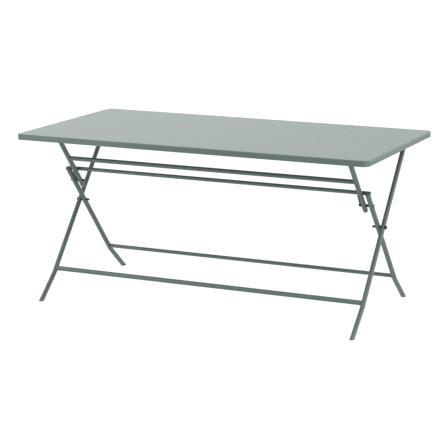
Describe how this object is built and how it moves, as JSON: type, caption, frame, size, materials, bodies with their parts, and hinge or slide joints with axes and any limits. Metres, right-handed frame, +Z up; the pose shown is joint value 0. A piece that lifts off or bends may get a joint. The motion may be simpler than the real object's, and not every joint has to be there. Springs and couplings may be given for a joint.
{
  "type": "folding table",
  "caption": "Rectangular folding table with a pressed sheet-metal top, crossed tubular leg frames and a short link frame that locks the legs open.",
  "frame": {"origin": "on the ground under the middle of the tabletop", "axes": "+X along the length of the table, +Y to the rear, +Z up"},
  "size_m": [1.5, 0.8, 0.702],
  "materials": {
    "powder_coat": "satin grey-green powder coat with a fine texture",
    "end_plug_plastic": "dark grey-green moulded plastic plugs",
    "black_nylon": "black nylon caps, spacers and washers",
    "black_paint": "black-painted steel lug plates",
    "zinc_steel": "zinc-plated steel bolts and screws"
  },
  "bodies": {
    "tabletop": {"tabletop_panel": "powder_coat", "stiffener_front": "powder_coat", "stiffener_middle": "powder_coat", "stiffener_rear": "powder_coat", "hinge_brackets_rear": "powder_coat", "hinge_brackets_front": "powder_coat", "saddle_clips_rear": "powder_coat", "saddle_clips_front": "powder_coat", "clip_screws": "zinc_steel"},
    "outer_frame": {"outer_leg_left": "powder_coat", "outer_leg_right": "powder_coat", "outer_hinge_rod": "powder_coat", "outer_stretcher": "powder_coat", "outer_foot_plugs": "end_plug_plastic", "outer_leg_top_plugs": "end_plug_plastic", "outer_rod_plugs": "end_plug_plastic", "pivot_bolt_left": "zinc_steel", "pivot_bolt_right": "zinc_steel", "pivot_cap_left": "black_nylon", "pivot_cap_right": "black_nylon", "pivot_outer_washers": "black_nylon"},
    "link_frame": {"link_arm_left": "powder_coat", "link_arm_right": "powder_coat", "link_hinge_rod": "powder_coat", "link_crossbar": "powder_coat", "link_arm_top_plugs": "end_plug_plastic", "link_arm_tip_caps": "powder_coat", "link_rod_plugs": "end_plug_plastic", "link_sleeves": "black_nylon"},
    "inner_frame": {"inner_leg_left": "powder_coat", "inner_leg_right": "powder_coat", "inner_stretcher": "powder_coat", "stop_bar": "powder_coat", "stop_bar_plugs": "end_plug_plastic", "lug_plate_left": "black_paint", "lug_plate_right": "black_paint", "inner_foot_plugs": "end_plug_plastic", "inner_leg_tip_plugs": "powder_coat", "pivot_studs": "zinc_steel", "pivot_nuts": "black_nylon", "pivot_inner_washers": "black_nylon", "link_pin_left": "zinc_steel", "link_pin_right": "zinc_steel", "link_pin_caps": "black_nylon", "link_pin_nuts": "black_nylon", "link_spacer_left": "black_nylon", "link_spacer_right": "black_nylon"}
  },
  "joints": [
    {"name": "inner_frame_fold", "type": "hinge", "parent": "link_frame", "child": "inner_frame", "pos_m": [0, -0.08777, 0.46953], "axis": [-1, 0, 0], "range_deg": [0, 166]},
    {"name": "link_frame_fold", "type": "hinge", "parent": "tabletop", "child": "link_frame", "pos_m": [0, -0.28672, 0.672], "axis": [1, 0, 0], "range_deg": [0, 45.36]},
    {"name": "outer_frame_fold", "type": "hinge", "parent": "tabletop", "child": "outer_frame", "pos_m": [0, 0.27674, 0.672], "axis": [-1, 0, 0], "range_deg": [0, 44.13]}
  ],
  "couplings": [
    {"joint": "link_frame_fold", "follows": "inner_frame_fold", "ratio": 0.27325},
    {"joint": "outer_frame_fold", "follows": "inner_frame_fold", "ratio": 0.2658}
  ]
}
